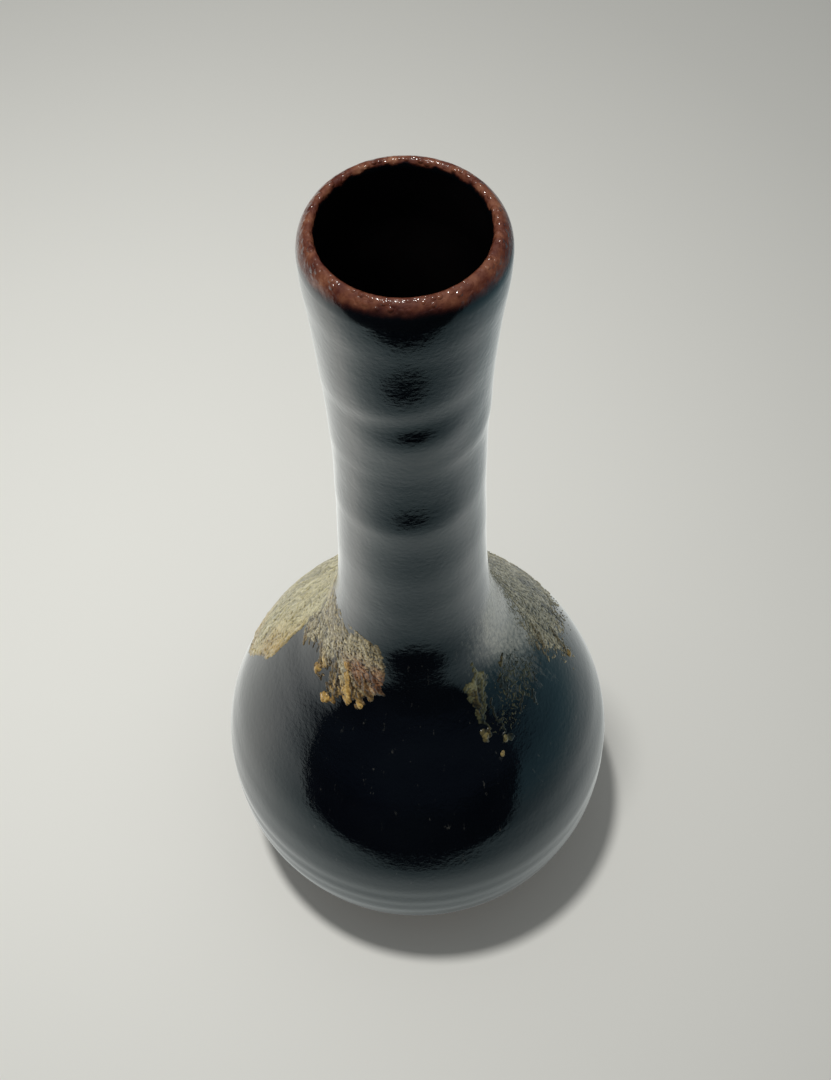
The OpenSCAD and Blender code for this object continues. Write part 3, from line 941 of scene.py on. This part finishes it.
# Runs and beads: path, half widths, height, tone, gold
FRONT_LEFT_RUNS = [
    (((194, 20.8), (199, 21.6), (202, 22.6)), (0.8, 0.5), 0.26, 0.3, 0.3),
    (((202.5, 22.8), (203.5, 23.3)), (0.95, 0.9), 0.60, 0.4, 0.8),
    (((205.5, 23.6), (208, 23.5), (209, 22.8)), (0.4, 0.35), 0.30, 0.2, 0.3),
    (((210, 19.6), (208, 21.0), (207, 21.8)), (0.5, 0.35), 0.25, 0.2, 0.2),
    (((212, 20.0), (214, 21.6), (216, 23.6)), (0.8, 0.5), 0.30, 0.25, 0.4),
    (((216.5, 24.3), (217.5, 24.8)), (1.0, 0.9), 0.65, 0.45, 1.0),
    (((220.5, 23.6), (222, 24.1)), (0.7, 0.7), 0.40, 0.3, 0.9),
    (((216, 20.0), (220, 21.8), (222, 23.2)), (0.7, 0.6), 0.30, 0.2, 0.5),
    (((221, 18.8), (225, 20.2), (228, 21.8)), (0.5, 0.8), 0.60, 0.5, 1.0),
    (((228.5, 22.1), (229, 22.6)), (0.9, 0.85), 0.55, 0.4, 1.0),
    (((225, 19.6), (230, 21.0), (232, 21.8)), (0.5, 0.5), 0.3, 0.15, 0.7),
    (((231, 19.4), (234, 20.6), (236, 21.4)), (0.7, 0.7), 0.36, 0.25, 0.7),
    (((236.5, 21.7), (237, 22.2)), (0.9, 0.8), 0.45, 0.35, 1.0),
    (((235, 19.0), (239, 20.0), (242, 20.6)), (0.8, 0.8), 0.38, 0.25, 0.7),
    (((240, 18.2), (244, 19.0), (247, 19.6)), (0.8, 0.9), 0.35, 0.2, 0.3),
    (((176, 23.2), (180, 24.2), (183, 24.6)), (0.8, 0.5), 0.25, 0.4, 0.5),
    (((184, 23.0), (186, 23.6)), (0.4, 0.25), 0.15, 0.3, 0.2),
    (((188, 21.8), (190, 22.7)), (0.35, 0.2), 0.15, 0.3, 0.2),
    (((192, 21.3), (194, 22.1)), (0.35, 0.2), 0.15, 0.3, 0.2),
]
FRONT_RIGHT_RUNS = [
    (((306, 21.2), (304, 22.8), (303, 24.2)), (1.3, 0.7), 0.26, 0.35, 0.1),
    (((303, 24.2), (303.5, 25.4), (305, 26.2)), (0.5, 0.5), 0.20, 0.25, 0.0),
    (((301.5, 26.8), (302, 27.6)), (0.9, 0.8), 0.35, 0.4, 0.1),
    (((305, 26.4), (304, 27.6)), (0.4, 0.7), 0.25, 0.35, 0.1),
    (((312, 23.4), (310.5, 24.6), (310, 25.6), (312, 27.0), (311.5, 28.2), (309.5, 29.0)),
     (0.35, 0.3), 0.15, 0.2, 0.0),
    (((312.5, 29.8), (310, 29.4)), (0.7, 0.5), 0.2, 0.22, 0.0),
    (((334, 20.6), (330, 21.0)), (0.5, 0.8), 0.25, 0.5, 0.1),
    (((323, 22.4), (322.5, 23.6), (321, 25.0)), (0.7, 0.3), 0.15, 0.15, 0.0),
    (((326, 23.0), (323, 24.6)), (0.4, 0.3), 0.15, 0.15, 0.0),
    (((334, 28.4), (332, 29.4)), (0.9, 0.8), 0.10, 0.10, 0.0),
    (((326, 26.6), (324, 27.6), (323, 28.4)), (0.3, 0.3), 0.15, 0.2, 0.0),
    (((329, 27.0), (324, 27.8)), (0.3, 0.25), 0.15, 0.2, 0.0),
    (((342, 27.2), (340, 28.2)), (0.3, 0.25), 0.12, 0.2, 0.0),
]
RIGHT_RUNS = [
    (((6, 26.4), (3, 28.2)), (0.8, 0.9), 0.35, 0.50, 0.1),
    (((2, 27.8), (0, 28.8)), (0.7, 0.7), 0.35, 0.45, 0.15),
    (((358, 27.0), (356, 27.6)), (0.5, 0.5), 0.25, 0.45, 0.1),
    (((11, 31.6), (8, 32.8), (5, 34.4)), (0.5, 0.7), 0.30, 0.40, 0.15),
    (((357, 28.4), (355.5, 29.2), (354, 29.8)), (0.35, 0.3), 0.2, 0.50, 0.1),
    (((345, 25.4), (344, 26.2)), (0.5, 0.5), 0.25, 0.40, 0.1),
    (((347, 24.0), (348, 24.4)), (0.5, 0.5), 0.2, 0.35, 0.1),
]
# Glassy beads: bearing, share of the belly's radius, radius, gold
DROPS = [
    (203, .51, 1.0, 0.8), (217, .545, 1.1, 1.0), (229, .50, 1.0, 1.0), (237, .49, 0.95, 1.0),
    (302, .605, 1.0, 0.1), (310, .655, 0.8, 0.0), (306, .69, 0.65, 0.3), (4, .78, 1.0, 0.5)]


BEAD_SIDES = 32
BEAD_RINGS = 9


def bead_rings(bearing, share, size, turn):
    """Rings of one bead, from the top of its dome out to its edge and in again under the glaze."""
    r0 = share * BELLY_R
    z0 = float(np.interp(-r0, -RUN_R, RUN_Z))
    n = math.hypot(1, float(slope_at(np.array(z0))))
    angle = np.radians(np.arange(BEAD_SIDES) * 360 / BEAD_SIDES)
    levels = [(u, 0.6 * size * (1 - u * u) - 0.03) for u in np.linspace(0.02, 1, BEAD_RINGS)]
    rows = []
    for u, lift in levels + [(0.9, -0.3), (0.6, -0.3)]:
        reach = size * u * (1 + 0.12 * np.sin(angle * 2 + turn) + 0.06 * np.sin(angle * 3 + 2 * turn))
        across, along = reach * np.cos(angle), reach * np.sin(angle) * 1.15
        rows.append(skin(bearing + np.degrees(across / r0), z0 + along / n, -lift + np.zeros(BEAD_SIDES)))
    return rows


def make_drops(mat):
    """Beads of ash glass, each a low dome on the slope."""
    points, faces, golden = [], [], []
    for k, (bearing, share, size, gold) in enumerate(DROPS):
        rows = bead_rings(bearing, share, size, k)
        faces += [[q + len(points) for q in face] for face in capped_faces(len(rows), BEAD_SIDES)]
        bead = [*np.concatenate(rows), rows[0].mean(0), rows[-1].mean(0)]
        points += bead
        golden += [gold] * len(bead)
    points, golden = np.array(points), np.array(golden)
    obj = add_object("ash_glass_beads", points, faces, mat)
    looks = {"melt": 0.15 + 0.4 * golden, "gold": golden, "rose": np.zeros(len(points)), "flow": points}
    for key, values in looks.items():
        set_attribute(obj, key, values)
    return obj


# ------------------------------------------------------------------ stage, lights and camera
TABLE_REACH = 3.0
TABLE_TONE = (0.90, 0.90, 0.865)
# Painted light on the table: its colour darkens with distance from a point behind the bottle on the left
PAINTED_LIGHT_FALL = [(at, tuple(share * c for c in TABLE_TONE)) for at, share in (
    (0.0, 1), (0.1, 0.98), (0.2, 0.93), (0.3, 0.85), (0.42, 0.74), (0.55, 0.63), (0.7, 0.55), (1.0, 0.5))]
# What the gloss sees of the table, a painted reflection given as emitted light: brightness across it, from x
# = -1.2 m to x = +0.8 m
TABLE_GLOW = [(0.0, (0.50, 0.54, 0.55)), (0.27, (0.84, 0.90, 0.90)), (0.40, (1.12, 1.17, 1.15)),
              (0.53, (1.33, 1.36, 1.30)), (0.58, (1.16, 1.18, 1.13)), (0.62, (1.00, 1.03, 0.99)),
              (0.65, (0.80, 0.86, 0.85)), (0.68, (0.52, 0.62, 0.64)), (0.71, (0.28, 0.42, 0.46)),
              (0.75, (0.16, 0.31, 0.37)), (1.0, (0.09, 0.19, 0.24))]
# and how the painted reflection dims towards the front edge, from the bottle out to the edge
FRONT_FALL = [(0.0, 1), (0.15, (0.90, 0.92, 0.93)), (0.40, (0.62, 0.68, 0.70)),
              (0.60, (0.44, 0.51, 0.54)), (0.80, (0.29, 0.37, 0.40)), (1.0, (0.20, 0.28, 0.31))]
# how much of that dimming there is, across the table
FRONT_SHARE = [(0.0, 0.5), (0.40, 0.55), (0.50, 0.9), (0.58, 1), (0.67, 1), (0.74, 0.3), (1.0, 0)]
# where the table ends in front, in metres, and how that edge runs away at both sides
FRONT_EDGE = 0.147
LEFT_START, LEFT_SLOPE = 0.2, 0.27
RIGHT_START, RIGHT_SLOPE = 0.11, 0.5
# the shade at the bottle's foot, by distance in units of 0.1 m, and the dimming far behind
FOOT_SHADE = [(0.0, 0.12), (0.41, 0.25), (0.47, 0.62), (0.62, 0.74), (0.90, 1)]
BEHIND_FALL = [(0.28, 1), (0.48, 0.74), (0.9, 0.62)]


def distance_from(g, at, place):
    return g.node("VectorMath", at, place, operation="DISTANCE").outputs["Value"]


def painted_light_table_material():
    """Pale table top with a painted pool of light: its colour is brightest behind the bottle on the left and
    darker away from there.
    """
    g = new_material("table_top")
    away = distance_from(g, g.at(), (-0.09, 0.08, 0))
    shader = g.nodes["Principled BSDF"]
    # painted light: the base colour falls off with distance like a pool of lamplight
    g.put(shader.inputs["Base Color"], g.ramp(g.math("MULTIPLY", away, 2.0), PAINTED_LIGHT_FALL))
    g.put(shader.inputs["Specular IOR Level"], 0.2)
    g.put(shader.inputs["Roughness"], 0.5)
    return g.owner


def painted_reflection_material():
    """Painted reflection: light of the table as the glaze sees it, emitted by a sheet, with painted shade at
    the bottle's foot, black beyond the table's front edge.
    """
    g = new_material("painted_table_reflection")
    g.nodes.clear()
    at = g.at()
    split = g.node("SeparateXYZ", at)
    x, y = split.outputs["X"], split.outputs["Y"]
    across = g.math("MULTIPLY_ADD", x, 0.5, 0.6)
    past_left = g.math("MAXIMUM", g.math("MULTIPLY_ADD", x, -1.0, -LEFT_START), 0.0)
    past_right = g.math("MAXIMUM", g.math("ADD", x, -RIGHT_START), 0.0)
    sides = g.math("ADD", g.math("MULTIPLY", past_left, LEFT_SLOPE),
                   g.math("MULTIPLY", past_right, RIGHT_SLOPE))
    out = g.math("DIVIDE", g.math("MULTIPLY", y, -1.0), g.math("ADD", sides, FRONT_EDGE))
    seen = g.ramp(across, TABLE_GLOW)
    # painted reflection: brightness, dimming, black past the edge and the painted shadow at the foot, all as
    # emitted colour
    for layer in (g.mix(g.ramp(across, FRONT_SHARE), (1, 1, 1), g.ramp(out, FRONT_FALL)),
                  g.ramp(g.math("MULTIPLY", out, 0.5), [(0.495, 1), (0.505, (0.02, 0.02, 0.035))]),
                  g.ramp(g.math("MULTIPLY", distance_from(g, at, (0.0045, 0, 0.0005)), 10.0), FOOT_SHADE),
                  g.ramp(g.math("MULTIPLY", y, 3.0), BEHIND_FALL)):
        seen = g.mix(1.0, seen, layer, "MULTIPLY")
    light = g.node("Emission", seen)
    g.node("OutputMaterial", light.outputs[0])
    g.owner.cycles.emission_sampling = "NONE"
    return g.owner


def stage_sheet(name, z, mat):
    """A flat square sheet of the stage, at a height in metres."""
    mesh = bpy.data.meshes.new(name)
    corners = [(-TABLE_REACH, -TABLE_REACH, z), (TABLE_REACH, -TABLE_REACH, z), (TABLE_REACH, TABLE_REACH, z),
               (-TABLE_REACH, TABLE_REACH, z)]
    mesh.from_pydata(corners, [], [(0, 1, 2, 3)])
    mesh.materials.append(mat)
    sheet = bpy.data.objects.new(name, mesh)
    bpy.context.scene.collection.objects.link(sheet)
    return sheet


def make_stage():
    """The table top, and just above it the glowing sheet with the painted reflection of the table, which only
    gloss sees.
    """
    stage_sheet("table_top", 0, painted_light_table_material()).visible_glossy = False
    glow = stage_sheet("painted_table_reflection", 0.0005, painted_reflection_material())
    glow.visible_camera = glow.visible_diffuse = glow.visible_shadow = glow.visible_transmission = False
    glow.visible_volume_scatter = False


def make_world():
    """Light of the room: even on the table and the pot, and dark at the horizon where gloss sees it."""
    g = Graph(bpy.data.worlds.new("studio"))
    bpy.context.scene.world = g.owner
    ray = g.node("LightPath").outputs
    direction = g.node("SeparateXYZ", g.node("TexCoord").outputs["Generated"])
    overhead = g.ramp(g.math("MULTIPLY_ADD", direction.outputs["Z"], 0.5, 0.5), [
        (0.50, (0.015, 0.022, 0.04)), (0.62, (0.03, 0.04, 0.06)), (0.80, (0.20, 0.22, 0.24)),
        (1.0, (0.45, 0.47, 0.48))])
    diffuse = g.mix(ray["Is Diffuse Ray"], overhead, (0.27, 0.275, 0.27))
    g.put(g.nodes["Background"].inputs["Color"], g.mix(ray["Is Camera Ray"], diffuse, (0.42, 0.42, 0.41)))


LAMP_AT = (-0.135, -0.05, 1.2)


def make_lights():
    """One small warm lamp, high on the left."""
    data = bpy.data.lights.new("key_lamp", "AREA")
    data.energy = 8.0
    data.size = 0.10
    data.color = (1, 0.985, 0.95)
    data.shape = "DISK"
    lamp = bpy.data.objects.new("key_lamp", data)
    bpy.context.scene.collection.objects.link(lamp)
    lamp.location = LAMP_AT
    lamp.rotation_mode = "QUATERNION"
    lamp.rotation_quaternion = (Vector((0, 0, 0)) - Vector(LAMP_AT)).to_track_quat("-Z", "Y")


# The camera: distance from the point it looks at and that point's place, in millimetres, and its
# height and roll in degrees
CAMERA_AT = 355.13
CAMERA_AIM = (0.65, 0, 122.9)
CAMERA_UP = 57.23
CAMERA_ROLL = -1.55


def make_camera():
    data = bpy.data.cameras.new("camera")
    data.lens = 58.33
    data.sensor_width = 36.0
    camera = bpy.data.objects.new("camera", data)
    bpy.context.scene.collection.objects.link(camera)
    a = math.radians(CAMERA_UP)
    back = Vector((0, -math.cos(a), math.sin(a)))
    camera.location = Vector(CAMERA_AIM) * MM + back * CAMERA_AT * MM
    camera.rotation_mode = "QUATERNION"
    roll = Quaternion(Vector((0, 0, 1)), math.radians(CAMERA_ROLL))
    camera.rotation_quaternion = (-back).to_track_quat("-Z", "Y") @ roll
    bpy.context.scene.camera = camera
    bpy.context.scene.view_settings.view_transform = "Standard"


# ------------------------------------------------------------------ build
def place(piece, slot_name, *nodes):
    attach(piece, "root")
    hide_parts(*nodes)


def lay_ash(name, slot_name, node, stops, outline, seed, pit=0.40, **looks):
    """A crust of ash with its own material, in place of one node."""
    mat = ash_material(slot_name, stops, pit=pit)
    place(make_crust(name, outline, mat, seed, **looks), slot_name, node)


# Colours of ash from where the melt is thin to where it is thick
MELT_STOPS = (0.0, 0.14, 0.35, 0.6, 0.85)
STRAW = list(zip(MELT_STOPS, ((0.02, 0.02, 0.012), (0.13, 0.115, 0.055), (0.33, 0.29, 0.15),
                              (0.60, 0.54, 0.31), (0.80, 0.75, 0.52))))
BEIGE = list(zip(MELT_STOPS, ((0.02, 0.016, 0.012), (0.08, 0.065, 0.035), (0.23, 0.195, 0.115),
                              (0.42, 0.36, 0.22), (0.66, 0.60, 0.42))))
OLIVE = list(zip(MELT_STOPS, ((0.02, 0.018, 0.014), (0.10, 0.09, 0.055), (0.28, 0.25, 0.155),
                              (0.50, 0.45, 0.29), (0.76, 0.70, 0.51))))
MOSS = list(zip(MELT_STOPS, ((0.005, 0.006, 0.004), (0.018, 0.019, 0.010), (0.045, 0.045, 0.020),
                             (0.090, 0.085, 0.038), (0.18, 0.17, 0.085))))
AMBER = [(0.0, (0.02, 0.016, 0.01)), (0.2, (0.14, 0.12, 0.05)), (0.5, (0.34, 0.28, 0.12)),
         (0.85, (0.6, 0.52, 0.3))]

clay = bare_clay()
place(make_outer_coat(dark_glaze()), "dark_glaze", "outer_glaze")
place(make_lip_coat(iron_lip()), "iron_lip", "lip_band")
place(make_inner_coat(liner_glaze()), "liner_glaze", "inner_glaze")
place(make_clay_neck(clay), "bare_clay", "clay_neck")
place(make_clay_belly(clay), "bare_clay", "clay_belly")
place(make_foot(clay), "bare_clay", "foot_ring")
lay_ash("ash_on_left_shoulder", "pale_ash", "ash_left_shoulder", STRAW, LEFT_ASH, 101,
        thick=0.34, teeth=1.3, step=0.21, fingers=0.8, ragged=0.8, lean=0.5, threads=(40.0, 0.10),
        thready=0.75, pale=0.50, contrast=0.6, pits=0.7, edge_gold=0.6,
        golds=[(172, 34, 5, 8, 0.6), (160, 40, 14, 3, 0.5)])
lay_ash("ash_on_front_left", "amber_ash", "ash_front_left", BEIGE, FRONT_LEFT_ASH, 201,
        runs=FRONT_LEFT_RUNS, thick=0.30, teeth=0.9, fingers=0.4, ragged=0.8, lean=0.9, threads=(46.0, 0.6),
        thready=0.5, contrast=1.15, step=0.14, pale=0.40, pits=1.3, edge_gold=0.3, rim=0.15,
        golds=[(226, 22, 8, 2.6, 0.8), (205, 22, 4, 2, 0.4)],
        roses=[(240, 18.6, 4.5, 3.5, 1.0), (222, 18.5, 5.0, 2.0, 0.4)])
lay_ash("ash_on_right_shoulder", "speckled_ash", "ash_right_shoulder", OLIVE, RIGHT_ASH, 301, pit=0.44,
        runs=RIGHT_RUNS, thick=0.16, teeth=0.8, fingers=0.6, ragged=3.4, lean=-0.5, threads=(110.0, 1.2),
        thready=0.4, contrast=1.6, pits=1.5, pale=0.48, edge_gold=0.0, rim=0.0, shred=6.5, fine=2.0,
        golds=[(5, 28, 4, 2.5, 0.12), (6, 34, 4, 2, 0.15)],
        flecks=[(2, 25, 6, 3, 0.9), (356, 27, 4, 2.5, 0.8), (14, 22, 9, 3, 0.95), (34, 20, 10, 3, 0.9)])
lay_ash("ash_on_front_right", "olive_ash", "ash_front_right", MOSS, FRONT_RIGHT_ASH, 401, pit=0.36,
        runs=FRONT_RIGHT_RUNS, thick=0.22, teeth=0.5, fingers=0.3, ragged=1.2, lean=0.0, step=0.15,
        edge_gold=0.0, pale=0.5, reach=FLECK_REACH, fine=1.8,
        flecks=[(325, 24, 7, 4, 0.70), (335, 22, 6, 3.5, 0.78), (330, 27, 8, 4, 0.66),
                (344, 26, 5, 4, 0.74), (312, 28, 5, 4, 0.56)])
place(make_drops(ash_material("ash_glass", AMBER, rough=0.12)), "ash_glass", "ash_drops")

make_stage()
make_world()
make_lights()
make_camera()
